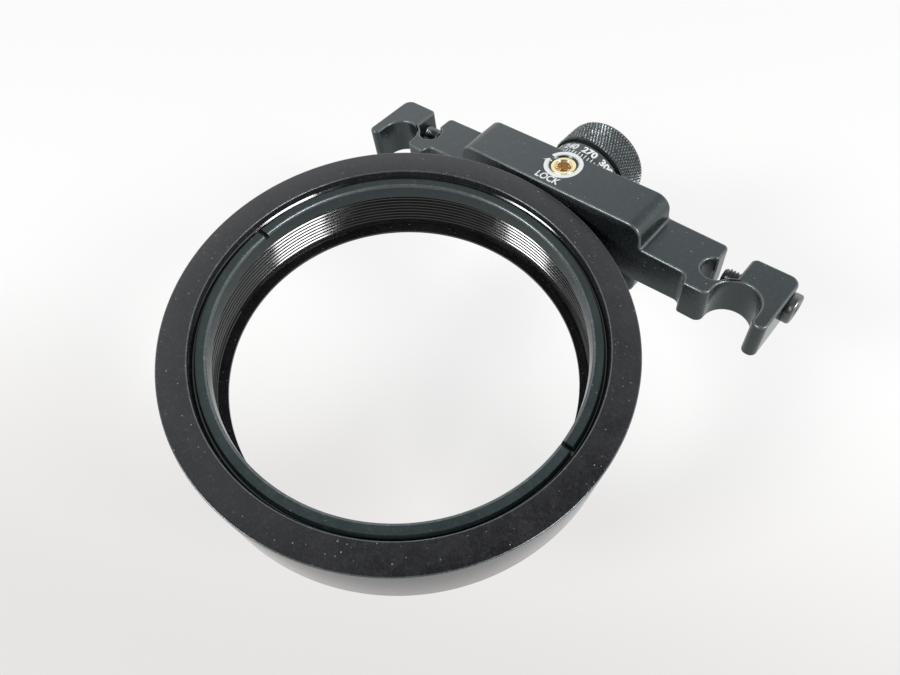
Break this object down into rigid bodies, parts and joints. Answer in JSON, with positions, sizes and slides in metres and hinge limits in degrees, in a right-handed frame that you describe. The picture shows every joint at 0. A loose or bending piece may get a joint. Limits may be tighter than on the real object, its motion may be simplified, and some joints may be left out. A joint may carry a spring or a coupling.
{
  "type": "optical lens mount",
  "caption": "Rotating lens mount: a threaded round lens cell on a spindle in a clamp bar, with spring jaws for cage rods, a degree knob and a lock screw.",
  "frame": {"origin": "where the optical axis crosses the spindle's axis, at mid-height of the lens cell", "axes": "+Z along the cage rods, +X along the clamp bar, +Y from the lens cell to the knob"},
  "size_m": [0.0722, 0.076, 0.0214],
  "materials": {
    "black_anodised": "satin black anodised aluminium",
    "retainer_anodised": "satin dark green-black anodised aluminium",
    "knob_anodised": "knurled anodised aluminium",
    "steel": "turned steel",
    "black_steel": "black oxide steel",
    "brass": "turned brass",
    "bronze": "bronze washer",
    "white_print": "white marking paint"
  },
  "bodies": {
    "frame": {"clamp_bar": "black_anodised", "front_washer": "bronze", "rear_washer": "bronze", "lock_arrow": "white_print"},
    "rotor": {"lens_cell": "black_anodised", "spindle": "steel", "knob": "knob_anodised", "knob_screw": "black_steel", "degree_ticks": "white_print"},
    "retainer": {"retaining_ring": "retainer_anodised"},
    "lock": {"lock_screw": "brass"},
    "left_clamp": {"clamp_screw_left": "black_steel"},
    "right_clamp": {"clamp_screw_right": "black_steel"}
  },
  "joints": [
    {"name": "cell_turn", "type": "hinge", "parent": "frame", "child": "rotor", "pos_m": [0, 0, 0], "axis": [0, 1, 0], "continuous": true},
    {"name": "retainer_turn", "type": "hinge", "parent": "rotor", "child": "retainer", "pos_m": [0, 0, 0], "axis": [0.1659, 0, 0.9861], "continuous": true},
    {"name": "lock_turn", "type": "hinge", "parent": "frame", "child": "lock", "pos_m": [0, 0.03495, 0], "axis": [0, 0, 1], "range_deg": [-90, 360]},
    {"name": "left_clamp_turn", "type": "hinge", "parent": "frame", "child": "left_clamp", "pos_m": [-0.035, 0.0354, 0], "axis": [-1, 0, 0], "range_deg": [-360, 1080]},
    {"name": "right_clamp_turn", "type": "hinge", "parent": "frame", "child": "right_clamp", "pos_m": [0.035, 0.0354, 0], "axis": [1, 0, 0], "range_deg": [-360, 1080]}
  ]
}
